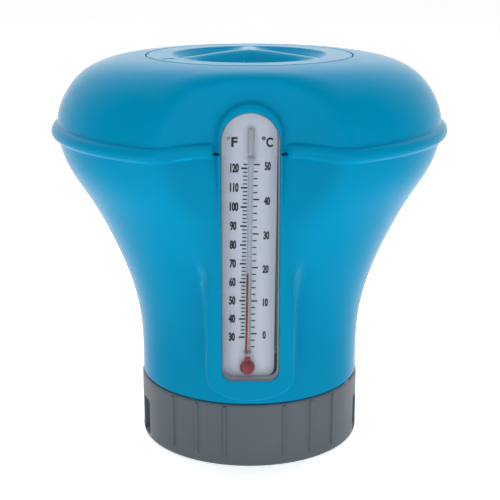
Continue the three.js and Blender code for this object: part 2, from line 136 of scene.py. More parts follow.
def inset(line, distance):
    """The same line moved towards the axis along its normal."""
    along = np.gradient(line, axis=0)
    along /= np.linalg.norm(along, axis=1)[:, None]
    return line + distance * np.c_[-along[:, 1], along[:, 0]]


FLARE = smooth_line(FLARE_POINTS, 400)
DOME = smooth_line(DOME_POINTS, 400)


def steps(*stops):
    """Heights from stop to stop: each stop after the first is (height, spacing up to it)."""
    heights = [stops[0]]
    for height, spacing in stops[1:]:
        count = max(1, round(abs(height - heights[-1]) / spacing))
        heights += list(np.linspace(heights[-1], height, count + 1)[1:])
    return np.array(heights)


# ---- meshes ----
def make_object(name, verts, faces, sharp=40):
    """A smooth-shaded object from millimetre points, with creases over the angle kept sharp."""
    mesh = bpy.data.meshes.new(name)
    mesh.from_pydata([tuple(v) for v in np.asarray(verts) * MM], [], faces)
    obj = bpy.data.objects.new(name, mesh)
    scene.collection.objects.link(obj)
    tidy_mesh(obj, sharp)
    return obj


def tidy_mesh(obj, sharp=40):
    work = bmesh.new()
    work.from_mesh(obj.data)
    bmesh.ops.remove_doubles(work, verts=work.verts, dist=1e-7)
    bmesh.ops.recalc_face_normals(work, faces=work.faces)
    work.to_mesh(obj.data)
    work.free()
    obj.data.shade_smooth()
    obj.data.set_sharp_from_angle(angle=math.radians(sharp))


def grid_faces(rows, columns, ring):
    """Quads between rows of a round grid; a ring joins its last row to its first."""
    faces = []
    for j in range(rows if ring else rows - 1):
        below, above = j * columns, (j + 1) % rows * columns
        for i in range(columns):
            k = (i + 1) % columns
            faces.append((below + i, below + k, above + k, above + i))
    return faces


def around(phi, radius, z):
    """One row of points: radius and height may be numbers or one value for each direction."""
    radius, z = np.broadcast_arrays(radius, z, phi)[:2]
    return np.c_[radius * np.sin(phi), -radius * np.cos(phi), z]


def ring_solid(name, rows, sharp=40):
    """A body that closes on itself in both directions, such as a hollow turned shell."""
    faces = grid_faces(len(rows), len(rows[0]), True)
    return make_object(name, np.concatenate(rows), faces, sharp)


def capped_solid(name, rows, sharp=40):
    """A body through rows that closes with a flat face at each end."""
    count = len(rows[0])
    faces = grid_faces(len(rows), count, False)
    faces.append(tuple(range(count))[::-1])
    faces.append(tuple(range((len(rows) - 1) * count, len(rows) * count)))
    return make_object(name, np.concatenate(rows), faces, sharp)


def turned(name, corners, segments=128, sharp=40):
    """A ring turned round the axis from a closed outline of (radius, height) corners."""
    phi = np.linspace(0, 2 * np.pi, segments, endpoint=False)
    return ring_solid(name, [around(phi, r, z) for r, z in corners], sharp)


def rounded(corners, radius, count=4):
    """The closed outline with each corner replaced by a short round."""
    points = [np.array(c, float) for c in corners]
    made = []
    for i, corner in enumerate(points):
        before = points[i - 1] - corner
        after = points[(i + 1) % len(points)] - corner
        reach = min(radius, np.linalg.norm(before) / 2.2, np.linalg.norm(after) / 2.2)
        start = corner + before / np.linalg.norm(before) * reach
        end = corner + after / np.linalg.norm(after) * reach
        for t in np.linspace(0, 1, count):
            made.append(tuple((1 - t) ** 2 * start + 2 * t * (1 - t) * corner + t * t * end))
    return made


def join_solids(target, *others):
    combine(target, others, "UNION")


def cut_solids(target, *tools):
    combine(target, tools, "DIFFERENCE")


def combine(target, others, operation):
    for other in others:
        step = target.modifiers.new("combine", "BOOLEAN")
        step.operation = operation
        step.solver = "MANIFOLD"
        step.object = other
    graph = bpy.context.evaluated_depsgraph_get()
    made = bpy.data.meshes.new_from_object(target.evaluated_get(graph))
    target.modifiers.clear()
    target.data = made
    for other in others:
        bpy.data.objects.remove(other)


def stadium(half, bottom, top, corner=None, segments=24):
    """An upright outline with an arched top and round bottom corners."""
    corner = half if corner is None else corner
    side = half - corner
    centres = [(-side, bottom + corner, 180, corner), (side, bottom + corner, 270, corner)]
    centres += [(0, top - half, 0, half), (0, top - half, 90, half)]
    points = []
    for x, z, start, radius in centres:
        for angle in np.radians(np.linspace(start, start + 90, segments)):
            points.append((x + radius * math.cos(angle), z + radius * math.sin(angle)))
    return points


def plate(name, outlines, front, back, bevel=0.0, lean=0.0, pivot=(0, 0), flat=False):
    """A slab with holes from outlines in the plane of X and Z, between two distances in front
    of the axis, with rounded edges. A flat one lies down, between two heights."""
    curve = bpy.data.curves.new(name, "CURVE")
    curve.dimensions = "2D"
    curve.fill_mode = "BOTH"
    curve.extrude = ((front - back) / 2 - bevel) * MM
    curve.bevel_depth = bevel * MM
    curve.bevel_resolution = 3
    curve.offset = -bevel * MM
    for outline in outlines:
        spline = curve.splines.new("POLY")
        spline.points.add(len(outline) - 1)
        for point, (x, z) in zip(spline.points, outline):
            point.co = (x * MM, z * MM, 0, 1)
        spline.use_cyclic_u = True
    shaped = bpy.data.objects.new(name, curve)
    scene.collection.objects.link(shaped)
    graph = bpy.context.evaluated_depsgraph_get()
    mesh = bpy.data.meshes.new_from_object(shaped.evaluated_get(graph))
    bpy.data.objects.remove(shaped)
    middle = (front + back) / 2 * MM
    if flat:
        place = Matrix.Translation((0, 0, middle))
    else:
        place = Matrix.Translation((0, -middle, 0)) @ Matrix.Rotation(math.pi / 2, 4, "X")
    at = Vector((pivot[0] * MM, 0, pivot[1] * MM))
    turn = Matrix.Translation(at) @ Matrix.Rotation(lean, 4, "Y") @ Matrix.Translation(-at)
    mesh.transform(turn @ place)
    obj = bpy.data.objects.new(name, mesh)
    scene.collection.objects.link(obj)
    tidy_mesh(obj)
    return obj


# ---- the float's form ----
def columns(fine, middle, coarse, narrow=21.0, wide=42.0):
    """Directions round the axis, close together across the front and wide apart behind."""
    half = steps(0.0, (narrow, fine), (wide, middle), (180.0, coarse))
    return np.radians(np.r_[-half[:0:-1], half[:-1]])


PHI = columns(0.26, 0.7, 2.0)


def behind_wall(x, y, z):
    """How far a point lies behind the scoop's wall, which leans forward below the brim."""
    front = SCOOP["front"] + SCOOP["lean"] * np.clip(PARTING - z, 0, PARTING - SCOOP["lean_end"])
    slope = 3 * SCOOP["flare"] * x * x
    return (y + front + SCOOP["flare"] * np.abs(x) ** 3) / np.hypot(1, slope)


def pad_depth(x, y, z):
    """How deep a point lies in the pad that carries the thermometer on the neck. Its edges
    soften and its face draws back towards the top, where it runs into the flare. The draft
    is how much its sides slope."""
    centre = PAD["bottom"] + PAD["bow"]
    below = np.clip(centre - z, 0, None)
    reach = np.hypot(x / PAD["half"], below / PAD["bow"])
    rate = np.hypot(x / PAD["half"] ** 2, below / PAD["bow"] ** 2) + 1e-9
    round_side = (1 - reach) * reach / rate
    side = np.where(z > centre, PAD["half"] - np.abs(x), round_side)
    retreat = PAD_RETREAT["depth"] * (np.clip(z - PAD_RETREAT["from"], 0, None) / PAD_RETREAT["over"]) ** 2
    depth = y + (PAD["front"] - retreat)
    draft = 0.045 + 0.1 * smoothstep(below, 4, PAD["bow"])
    edge = PAD["edge"] + 6 * smoothstep(z, *PAD_FADE)
    return smooth_min(depth, side + draft * depth, edge)


def frame_depth(x, y, z, half):
    """How deep a point lies in the raised frame round the lens."""
    arch = POD["top"] - half
    side = np.where(z > arch, half - np.hypot(x, z - arch), half - np.abs(x))
    side = np.minimum(side, z - POD["foot"])
    proud = (POD["front"] - PAD["front"]) * smoothstep(z, *FRAME_RISE)
    depth = y + PAD["front"] + proud
    draft = 0.15
    edge = 1.2 + 1.2 * smoothstep(z, arch + 4, POD["top"])
    return smooth_min(depth, side + draft * depth, edge)


def radius_at(phi, z, round_radius, inner=0.0, pod_half=None):
    """Radius of the float in each direction at a height where its round outline has the
    radius given: inside the scoop's wall, with the pad and the frame added. The radius is
    found by halving the range in which the surface must lie."""
    low = np.full(len(phi), 30.0)
    high = np.full(len(phi), 90.0)
    far_outside = -50
    halvings = 22
    z = np.broadcast_to(z, phi.shape)
    for _ in range(halvings):
        r = (low + high) / 2
        x, y = r * np.sin(phi), -r * np.cos(phi)
        depth = smooth_min(round_radius - r, behind_wall(x, y, z) - inner, SCOOP["fillet"])
        if pod_half:
            facing = y < -20
            pad = np.where(facing, pad_depth(x, y, z), far_outside)
            raised = np.where(facing, frame_depth(x, y, z, pod_half), far_outside)
            depth = smooth_max(depth, pad, 1.6 + 6 * smoothstep(z, 68, 94))
            depth = smooth_max(depth, raised, 0.8)
        low = np.where(depth > 0, r, low)
        high = np.where(depth > 0, high, r)
    return low


def bead_at(phi, radius, z):
    """The half-round bead along the brim: it stops short of the frame in a rounded end."""
    off = np.abs(z - BEAD["centre"]) / BEAD["half"]
    x = np.abs(radius * np.sin(phi))
    past = np.where(np.cos(phi) > 0, np.clip((x - BEAD["end"]) / BEAD["cap"], 0, 1), 1)
    section = np.sqrt(np.clip(1 - off**2, 0, 1))
    cap = np.sqrt(np.clip(1 - (1 - past) ** 2, 0, 1))
    narrow = np.clip(1 - off**2 - (1 - past) ** 2, 0, 1) / np.maximum(section**2, 1e-6)
    return BEAD["proud"] * section * np.where(past < 1, cap * np.sqrt(narrow), 1)


def pad_rise(phi):
    """How far the rows of the neck rise to follow the bowed bottom edge of the pad."""
    x = np.clip(np.abs(PAD["front"] * np.tan(np.clip(phi, -1, 1))) / PAD["half"], 0, 1)
    rise = PAD["bow"] * (1 - np.sqrt(1 - x**2))
    away = smoothstep(np.abs(phi), math.radians(22), math.radians(32))
    return rise * (1 - away)


def form_row(line, z, pod_half, shift=0.0):
    """A row of the outer form. shift says how fully the row follows the pad's bottom edge."""
    height = np.broadcast_to(z + shift * pad_rise(PHI), PHI.shape)
    round_radius = np.interp(height, line[:, 1], line[:, 0])
    radius = radius_at(PHI, height, round_radius, pod_half=pod_half)
    return radius + bead_at(PHI, radius, height), height


def seam_dip():
    """The joint between the shells opens beside the frame, where the bead has ended."""
    frame_radius = 60
    opens, closes = (11, 11.4), (13.5, 14.0)
    off = np.abs(frame_radius * np.sin(PHI))
    near = smoothstep(off, *opens) * (1 - smoothstep(off, *closes))
    return SEAM["dip"] * near * (np.cos(PHI) > 0)


def inner_rows(pairs, fill_top):
    """Rows of a shell's inside, which stays thick behind the thermometer."""
    thick_half_angle = math.radians(15.5)
    thick = (np.abs(np.sin(PHI)) < math.sin(thick_half_angle)) & (np.cos(PHI) > 0)
    rows = []
    for round_radius, z in pairs:
        radius = radius_at(PHI, z, round_radius, inner=WALL)
        if z < fill_top:
            back = POD["back"] / np.maximum(np.cos(PHI), 0.2)
            radius = np.where(thick, np.minimum(radius, back), radius)
        rows.append(around(PHI, radius, z))
    return rows


def pocket_cutter():
    """The thermometer's pocket, a little larger than the lens all round."""
    gap = POCKET["gap"]
    outline = stadium(LENS["half"] + gap, LENS["bottom"] - gap, LENS["top"] + gap, LENS["corner"])
    return plate("pocket", [outline], POCKET["front"], POCKET["back"])


def vent_cutter(angle, size, corner=1.6):
    """A radial window with round corners, wider outside as its sides are radial."""
    half = math.radians(VENT_WIDTH / 2)
    share = corner / (math.radians(VENT_WIDTH) * size["outer"])
    bottom, top = size["bottom"], size["top"]
    outline = []
    for u, v, start in ((1, 0, 270), (1, 1, 0), (0, 1, 90), (0, 0, 180)):
        for turn in np.radians(np.linspace(start, start + 90, 6)):
            across = u + (share if u == 0 else -share) + share * math.cos(turn)
            centre = bottom + v * (top - bottom) + (corner if v == 0 else -corner)
            up = centre + corner * math.sin(turn)
            outline.append((math.radians(angle) + half * (2 * across - 1), up))
    radii = (size["inner"], size["outer"])
    rows = [[(r * math.sin(a), -r * math.cos(a), z) for a, z in outline] for r in radii]
    return capped_solid("window", rows)


def lower_shell():
    """The neck and flare, open at the bottom as a skirt that the collar turns on. Its rows
    stand closest at the pad's bottom edge and at the seam."""
    foot = COLLAR_TOP + 0.3
    ledge = 46.9
    skirt = [(SKIRT["outer"], SKIRT["bottom"]), (SKIRT["outer"], foot), (ledge, foot)]
    rows = [around(PHI, r, z) for r, z in rounded(skirt, 0.3)[2:-3]]
    rim = PARTING - SEAM["gap"] / 2
    heights = steps(28.6, (32.6, 0.8), (33.2, 0.3), (36.8, 0.2), (40, 0.4), (96, 1.0), (131.6, 0.7))
    heights = np.r_[heights, steps(131.8, (rim - 0.15, 0.22))]
    for z in heights:
        follow = float(smoothstep(z, 29, 33) * (1 - smoothstep(z, 38, 72)))
        radius, height = form_row(FLARE, z, POD["lower_half"], follow)
        rows.append(around(PHI, radius, height - seam_dip() * smoothstep(z, 132.5, 134)))
    radius, _ = form_row(FLARE, rim, POD["lower_half"])
    for step_in in (SEAM["rounding"], SEAM["width"]):
        rows.append(around(PHI, radius - step_in, rim - seam_dip()))
    inside = inset(FLARE, WALL)
    inner_heights = np.linspace(132, 31, 34)
    pairs = [(float(np.interp(z, inside[:, 1], inside[:, 0])), z) for z in inner_heights]
    rows += inner_rows(pairs, PARTING)
    floor_top, floor_bottom = 30.5, 28
    floor = [(43.5, floor_top), (CHAMBER_RADIUS, floor_top), (CHAMBER_RADIUS, floor_bottom)]
    end = [(SKIRT["inner"], floor_bottom), (SKIRT["inner"], SKIRT["bottom"]), (44.6, SKIRT["bottom"])]
    rows += [around(PHI, r, z) for r, z in floor + end]
    made = ring_solid("lower_float_shell", rows)
    stop_middle = STOP["angle"] + STOP["travel"] / 2
    notch_half = (STOP["travel"] + STOP["width"] + NOTCH["play"]) / 2
    edges = [NOTCH[edge] for edge in ("inner", "outer", "bottom", "top")]
    notch = sector_block(stop_middle - notch_half, stop_middle + notch_half, *edges)
    windows = [vent_cutter(angle, WINDOW) for angle in VENT_ANGLES]
    cut_solids(made, pocket_cutter(), notch, *windows)
    tidy_mesh(made)
    return made


def sector_block(start, end, inner, outer, bottom, top):
    """Part of a ring between two directions in degrees."""
    rows = []
    for angle in np.radians(np.linspace(start, end, max(2, int(abs(end - start) / 3)))):
        corners = ((inner, bottom), (inner, top), (outer, top), (outer, bottom))
        rows.append([(r * math.sin(angle), -r * math.cos(angle), z) for r, z in corners])
    return capped_solid("sector", rows)


def thread_block(inner, outer, centre, start, end, height):
    """A block of a coarse thread: it climbs as the lid does when it turns."""
    rows = []
    for turn in np.linspace(start, end, max(2, int((end - start) / 2))):
        angle = math.radians(centre + turn)
        middle = LUG["z"] + LID_RISE * turn / LID_TURN
        low, high = middle - height / 2, middle + height / 2
        corners = ((inner, low), (inner, high), (outer, high), (outer, low))
        rows.append([(r * math.sin(angle), -r * math.cos(angle), z) for r, z in corners])
    return capped_solid("thread", rows)


def upper_shell():
    """The dome, with a threaded ring hanging from its opening and a recess for the lid."""
    start = PARTING + SEAM["gap"] / 2
    half = POD["upper_half"]
    radius, _ = form_row(DOME, start, half)
    rows = [around(PHI, radius - SEAM["rounding"], start)]
    heights = np.r_[
        steps(start + 0.15, (138.6, 0.22)),
        steps(138.9, (146, 0.42), (150, 0.36), (154.4, 0.28)),
    ]
    rows += [around(PHI, *form_row(DOME, z, half)) for z in heights]
    for round_radius, z in DOME[DOME[:, 1] > 154.7][::3][:-1]:
        rows.append(around(PHI, radius_at(PHI, z, round_radius), z))
    flange_foot, flange_top = 157, 163
    edge = [(44.4, TOP - 0.05), (RECESS_RADIUS, TOP), (RECESS_RADIUS, flange_top)]
    recess = [(RECESS_RADIUS, NECK["seat"]), (OPENING_RADIUS, NECK["seat"])]
    ring = [(OPENING_RADIUS, NECK["bottom"]), (NECK["outer"], NECK["bottom"])]
    flange = [(NECK["outer"], flange_foot), (46, 160), (46.2, flange_top)]
    for r, z in rounded(edge, 0.7, 6)[6:12] + recess + ring + flange:
        rows.append(around(PHI, r, z))
    inside = inset(DOME, WALL)
    inside = inside[(inside[:, 0] > 46.6) & (inside[:, 1] > 136.5)][::-12]
    rows += inner_rows([*inside, (78.4, start)], flange_foot)
    made = ring_solid("upper_float_shell", rows)
    end = LUG["width"] / 2 + 0.8
    groove = (OPENING_RADIUS - 1, LUG["reach"] + 0.4)
    height = LUG["height"] + 0.8
    grooves = [thread_block(*groove, angle, -end, LID_TURN + end, height) for angle in THREAD_STARTS]
    cut_solids(made, pocket_cutter(), *grooves)
    tidy_mesh(made)
    return made


# ---- lid ----
LID = {"hollow": 8, "ledge": 0.35, "mark": 0.35, "wall": 2.2, "skirt_top": 162.6, "skirt_foot": 149}


def lid_height(r, phi):
    """Height of the lid's top: three spokes meet at a raised hub, with finger hollows between,
    and a fine ledge runs round the hollows."""
    third = 2 * math.pi / 3
    from_spoke = r * np.abs(np.sin(np.mod(phi, third) - third / 2))
    crown = TOP + (CROWN - TOP) * (1 - smoothstep(r, 2, 36))
    hollow = smoothstep(from_spoke, 0.8, 12.5) * (1 - smoothstep(r, 21.5, 33.5))
    ledge = LID["ledge"] * (1 - smoothstep(r, 31.4, 32.4)) * smoothstep(r, 28, 31)
    return crown - LID["hollow"] * hollow - ledge - lid_mark(r, phi)


def lid_mark(r, phi):
    """A short double groove that shows where the lid is shut."""
    depth = 0
    for angle in (-58.5, -61.5):
        off = np.abs(r * np.sin(phi - math.radians(angle)))
        ends = smoothstep(r, 34.5, 35.3) * (1 - smoothstep(r, 40.2, 41))
        facing = np.cos(phi - math.radians(angle)) > 0
        depth = depth + LID["mark"] * (1 - smoothstep(off, 0.2, 0.5)) * ends * facing
    return depth


def refill_lid():
    """A shallow cap with a skirt that carries three lugs."""
    phi = np.radians(np.arange(0, 360, 1.0))
    radii = steps(0.2, (3, 0.7), (42.2, 0.45))
    rows = [around(phi, r, lid_height(r, phi)) for r in radii]
    top, foot = LID["skirt_top"], LID["skirt_foot"]
    edge = [(42.5, TOP - 0.06), (42.72, TOP - 0.2), (LID_RADIUS, TOP - 0.45), (LID_RADIUS, top)]
    outer, inner = 39.9, 38
    skirt = [(outer, top), (outer, foot + 0.4), (outer - 0.3, foot)]
    skirt += [(inner + 0.3, foot), (inner, foot + 0.4), (inner, top - 0.2)]
    rows += [around(phi, r, z) for r, z in edge + skirt]
    rows += [around(phi, r, lid_height(r, phi) - LID["wall"]) for r in np.linspace(37, 0.2, 36)]
    made = capped_solid("screw_lid", rows, 35)
    root, half = outer - 0.5, LUG["width"] / 2
    lugs = [thread_block(root, LUG["reach"], at, -half, half, LUG["height"]) for at in THREAD_STARTS]
    join_solids(made, *lugs)
    tidy_mesh(made, 35)
    return made


# ---- collar and grate ----
RIB_ANGLES = [side + off - 0.8 for side in (0, 180) for off in (-45, -30, -15, 15, 30, 45)]
RIB = {"half": 0.72, "proud": 0.8, "bottom": 3.7, "top": 26.2}


def rib_at(phi, z):
    """Height of the collar's grip ribs, half-round with round lower ends."""
    total = np.zeros_like(phi)
    for angle in RIB_ANGLES:
        off = np.abs(COLLAR_RADIUS * np.sin(phi - math.radians(angle))) / RIB["half"]
        off = np.where(np.cos(phi - math.radians(angle)) > 0, off, 9)
        end = np.clip((RIB["bottom"] + RIB["half"] - z) / RIB["half"], 0, None)
        total += np.sqrt(np.clip(1 - off**2 - end**2, 0, 1))
    return RIB["proud"] * total


def collar_columns():
    """Directions every two degrees, with closer ones over each rib."""
    coarse = {round(a, 3) for a in np.arange(-180, 180, 2.0)}
    offsets = np.linspace(-1.1, 1.1, 13)
    fine = {round((centre + off + 180) % 360 - 180, 3) for centre in RIB_ANGLES for off in offsets}
    return np.radians(np.array(sorted(coarse | fine)))


def vent_collar():
    """The slotted ring, with a ledge inside its foot and a lug that limits its turn."""
    phi = collar_columns()
    inner = SKIRT["outer"] + 0.3
    ledge = {"radius": 43.2, "bottom": 2.9, "top": 4.9}
    foot = [(ledge["radius"], ledge["bottom"]), (inner, ledge["bottom"]), (inner, 0.3), (46.5, 0.3)]
    rows = [around(phi, r, z) for r, z in foot + [(47.1, 0.5), (47.4, 0.9)]]
    for z in steps(1.4, (3.2, 0.6), (5.2, 0.16), (24, 1.6), (26.4, 0.4)):
        rows.append(around(phi, COLLAR_RADIUS + rib_at(phi, z), z))
    soft = 1.1
    top = [(COLLAR_RADIUS - soft + soft * math.cos(a), COLLAR_TOP - soft + soft * math.sin(a))
           for a in np.linspace(0.2, math.pi / 2, 6)]
    inside = [(inner, COLLAR_TOP), (inner, ledge["top"]), (ledge["radius"], ledge["top"])]
    rows += [around(phi, r, z) for r, z in top + inside]
    made = ring_solid("slotted_collar", rows, 30)
    start, end = STOP["angle"] - STOP["width"] / 2, STOP["angle"] + STOP["width"] / 2
    join_solids(made, sector_block(start, end, 44, 45.6, STOP["bottom"], COLLAR_TOP - 0.1))
    cut_solids(made, *[vent_cutter(angle, COLLAR_SLOT) for angle in VENT_ANGLES])
    made.data.transform(Matrix.Rotation(math.radians(COLLAR_AT_REST), 4, "Z"))
    tidy_mesh(made, 30)
    return made


def circle(radius, count=96):
    turn = np.linspace(0, 2 * math.pi, count + 1)[:-1]
    return [(radius * math.cos(a), radius * math.sin(a)) for a in turn]


def slot_outline(inner, outer, middle, span, corner=1.2):
    """A curved slot between two radii, with round corners."""
    half = math.radians(span) / 2
    corners = [(inner, -half), (outer, -half), (outer, half), (inner, half)]
    points = []
    for i, (r, a) in enumerate(corners):
        inward = corner if r == inner else -corner
        turn = corner / r * (1 if a < 0 else -1)
        ends = [(r + inward, a), (r, a + turn)]
        if i % 2:
            ends.reverse()
        for t in np.linspace(0, 1, 5):
            radius = (1 - t) ** 2 * ends[0][0] + 2 * t * (1 - t) * r + t * t * ends[1][0]
            angle = (1 - t) ** 2 * ends[0][1] + 2 * t * (1 - t) * a + t * t * ends[1][1]
            points.append((radius, angle))
    dense = []
    for (r0, a0), (r1, a1) in zip(points, points[1:] + points[:1]):
        count = max(1, int(abs(a1 - a0) * max(r0, r1) / 1.5))
        for t in np.linspace(0, 1, count + 1)[:-1]:
            dense.append((r0 + (r1 - r0) * t, a0 + (a1 - a0) * t))
    centre = math.radians(middle)
    return [(r * math.cos(a + centre), r * math.sin(a + centre)) for r, a in dense]


def tablet_grate():
    """The slotted floor, with a short ring that fits up into the skirt."""
    spokes, spoke_width, floor_top = 6, 3, 2.6
    pitch = 360 / spokes
    outlines = [circle(44.8)]
    for inner, outer in ((11, 19), (21, 29), (31, 38.6)):
        span = pitch - math.degrees(spoke_width / ((inner + outer) / 2))
        outlines += [slot_outline(inner, outer, pitch * k, span) for k in range(spokes)]
    made = plate("slotted_grate", outlines, floor_top, 0, bevel=0.35, flat=True)
    inner, outer, root, top, soft = OPENING_RADIUS, SKIRT["inner"] - 0.3, 2.2, 7.2, 0.3
    section = [(inner, root), (outer, root), (outer, top - soft), (outer - soft, top)]
    section += [(inner + soft, top), (inner, top - soft)]
    join_solids(made, turned("spigot", section, 96))
    tidy_mesh(made)
    return made


def o_ring(name, radius, z, width, height):
    """A rubber ring of rounded section."""
    section = [(radius + width / 2 * math.cos(a), z + height / 2 * math.sin(a))
               for a in np.linspace(0, 2 * math.pi, 17)[:-1]]
    return turned(name, section, 128, 80)


# ---- thermometer ----
def leaning(obj):
    """The tube and what it carries lean a little to the right over the card."""
    middle = THERMOMETER_MIDDLE * MM
    place = Matrix.Translation((TUBE_OFFSET * MM, 0, middle)) @ Matrix.Rotation(TUBE_LEAN, 4, "Y")
    obj.data.transform(place @ Matrix.Translation((0, 0, -middle)))
    return obj


def bulbed(name, tube_radius, bulb_radius, bulb_depth, top, segments=32):
    """A rod whose lower end swells into a bulb, flattened to the depth given."""
    rows = []
    phi = np.linspace(0, 2 * np.pi, segments, endpoint=False)
    end = math.acos(tube_radius / bulb_radius)
    outline = [(bulb_radius * math.cos(a), BULB["z"] + bulb_radius * math.sin(a))
               for a in np.linspace(-math.pi / 2 + 0.06, end, 18)]
    shoulder = BULB["z"] + bulb_radius * math.sin(end)
    outline += [(tube_radius, z) for z in np.linspace(shoulder + 1, top, 12)]
    for r, z in outline:
        flat = 1 - float(smoothstep(z, BULB["z"] + 2, BULB["z"] + 5))
        depth = 1 + (bulb_depth / bulb_radius - 1) * flat
        row = around(phi, r, z)
        row[:, 1] = row[:, 1] * depth + TUBE_Y
        rows.append(row)
    return leaning(capped_solid(name, rows, 60))


def indicator_spirit():
    """The red bulb with its neck, and the thread of spirit beside the tube's middle."""
    phi = np.linspace(0, 2 * np.pi, 24, endpoint=False)
    beside = (-0.5, TUBE_Y - 0.3, 0)
    radius, foot, neck_top = 0.4, 51, 53.2
    outline = [(radius, foot), (radius, SPIRIT_TOP - 0.3), (radius / 2, SPIRIT_TOP)]
    thread = [around(phi, r, z) + beside for r, z in outline]
    bulb = bulbed("red_column", 1.15, BULB["radius"] - 0.2, BULB["depth"] - 0.3, neck_top)
    join_solids(bulb, leaning(capped_solid("thread", thread, 60)))
    tidy_mesh(bulb, 60)
    return bulb


def tube_sleeve():
    """A cap over the tube's top end, open below."""
    phi = np.linspace(0, 2 * np.pi, 32, endpoint=False)
    inner, outer, low, high = 1.1, 1.3, 133.7, 143.8
    hole = [(0.1, high - 0.5), (inner, high - 0.5), (inner, low)]
    side = [(outer - 0.1, low), (outer, low + 0.15), (outer, high - 0.4)]
    outline = hole + side + [(outer - 0.12, high - 0.12), (outer - 0.5, high), (0.1, high)]
    rows = [around(phi, r, z) + (0, TUBE_Y, 0) for r, z in outline]
    return leaning(capped_solid("tube_sleeve", rows, 50))


def tube_clip(name, z):
    """A flat wire staple bent over the tube, with its feet through the card."""
    bend = TUBE_RADIUS + 0.42
    thick, wide = 0.28, 0.62  # halves of the wire's section
    feet = -CARD["front"] + 0.6
    turn = np.linspace(math.pi, 2 * math.pi, 13)
    arch = [(bend * math.cos(a), TUBE_Y + bend * math.sin(a)) for a in turn]
    path = [(-bend, feet), *arch, (bend, feet)]
    rows = []
    for i, (x, y) in enumerate(path):
        near, far = path[max(i - 1, 0)], path[min(i + 1, len(path) - 1)]
        along = np.array([far[0] - near[0], far[1] - near[1]])
        side = np.array([along[1], -along[0]]) / np.linalg.norm(along)
        row = []
        for a in np.linspace(0, 2 * math.pi, 13)[:-1]:
            out, up = thick * math.cos(a), wide * math.sin(a)
            row.append((x + side[0] * out, y + side[1] * out, z + up))
        rows.append(row)
    return leaning(capped_solid(name, rows, 60))


def thermometer_tray():
    """The tray behind the card: a floor with a low wall all round, coloured dark as painted shade for the
    shaded housing beside the card.
    """
    outer = stadium(LENS["half"] - 0.05, LENS["bottom"], LENS["top"], LENS["corner"])
    wall = plate("tray", [outer, inner_outline(0.6, 0.6)], 55.9, 54.6, bevel=0.12)
    join_solids(wall, plate("tray_floor", [inner_outline(0.3, 0.3)], 55.4, 54.3))
    tidy_mesh(wall)
    return wall


def inner_outline(inwards, corner_less):
    """The lens's outline moved inwards, with smaller corners."""
    bottom, top = LENS["bottom"] + inwards, LENS["top"] - inwards
    return stadium(LENS["half"] - inwards, bottom, top, LENS["corner"] - corner_less)


CARD_LEAN = math.radians(0.62)
DEGREE = 0.7528  # height on the card of one degree Fahrenheit
THIRTY = 60.4  # height of the mark for 30 degrees Fahrenheit


def scale_height(fahrenheit):
    return THIRTY + DEGREE * (fahrenheit - 30)


def tube_x(z):
    return TUBE_OFFSET + (z - THERMOMETER_MIDDLE) * math.tan(TUBE_LEAN)


def thermometer_card():
    half = (CARD["right"] - CARD["left"]) / 2
    centre = (CARD["right"] + CARD["left"]) / 2
    upright = stadium(half, CARD["bottom"], CARD["top"], CARD["corner"])
    outline = [(x + centre, z) for x, z in upright]
    front, back = CARD["front"], CARD["front"] - 0.5
    pivot = (centre, THERMOMETER_MIDDLE)
    return plate("scale_card", [outline], front, back, 0.08, CARD_LEAN, pivot)


PRINT_FRONT = CARD["front"] + 0.035


def print_marks():
    """The short lines of both scales, printed on the card beside the tube."""
    verts, faces = [], []
    sides = [(k, k + 4, (k + 1) % 4 + 4, (k + 1) % 4) for k in range(4)]

    def bar(z, start, end, thick):
        shift = tube_x(z)
        tilt = math.sin(TUBE_LEAN)
        first = len(verts)
        for y in (PRINT_FRONT, PRINT_FRONT - 0.03):
            for x, up in ((start, -thick), (end, -thick), (end, thick), (start, thick)):
                verts.append((shift + x, -y, z + up / 2 - tilt * x))
        for face in [(0, 1, 2, 3), (7, 6, 5, 4), *sides]:
            faces.append(tuple(first + k for k in face))

    for degrees in range(30, 123, 2):
        long = degrees % 10 == 0
        bar(scale_height(degrees), -3.6 if long else -2.85, -1.2, 0.68 if long else 0.48)
    for degrees in range(-4, 51, 2):
        long = degrees % 10 == 0
        bar(scale_height(degrees * 1.8 + 32), 1.15, 3.5 if long else 2.75, 0.56 if long else 0.46)
    return make_object("scale_marks", verts, faces)


def lettering(text, x, z, height, width=0.62, thicken=0.0):
    """A number or a degree sign with its letter, standing on the card, as a mesh. The figures
    are narrowed first and thickened after that, so that all their strokes stay alike."""
    font = bpy.data.curves.new("figure", "FONT")
    font.body = text
    capital_share = 0.72
    font.size = height * MM / capital_share
    font.align_x = "CENTER"
    font.align_y = "CENTER"
    shaped = bpy.data.objects.new("figure", font)
    scene.collection.objects.link(shaped)
    curve = shaped.to_curve(bpy.context.evaluated_depsgraph_get()).copy()
    curve.transform(Matrix.Diagonal((width, 1, 1, 1)))
    bpy.data.objects.remove(shaped)
    curve.offset = thicken * MM
    curve.extrude = 0.015 * MM
    curve.resolution_u = 5
    outlined = bpy.data.objects.new("figure", curve)
    scene.collection.objects.link(outlined)
    graph = bpy.context.evaluated_depsgraph_get()
    mesh = bpy.data.meshes.new_from_object(outlined.evaluated_get(graph))
    bpy.data.objects.remove(outlined)
    upright = Matrix.Rotation(math.pi / 2, 4, "X")
    lean = Matrix.Rotation(TUBE_LEAN, 4, "Y")
    mesh.transform(Matrix.Translation((x * MM, -PRINT_FRONT * MM, z * MM)) @ lean @ upright)
    return mesh


def merged_print(name, meshes):
    work = bmesh.new()
    for mesh in meshes:
        work.from_mesh(mesh)
    made = bpy.data.meshes.new(name)
    work.to_mesh(made)
    work.free()
    obj = bpy.data.objects.new(name, made)
    scene.collection.objects.link(obj)
    tidy_mesh(obj)
    return obj


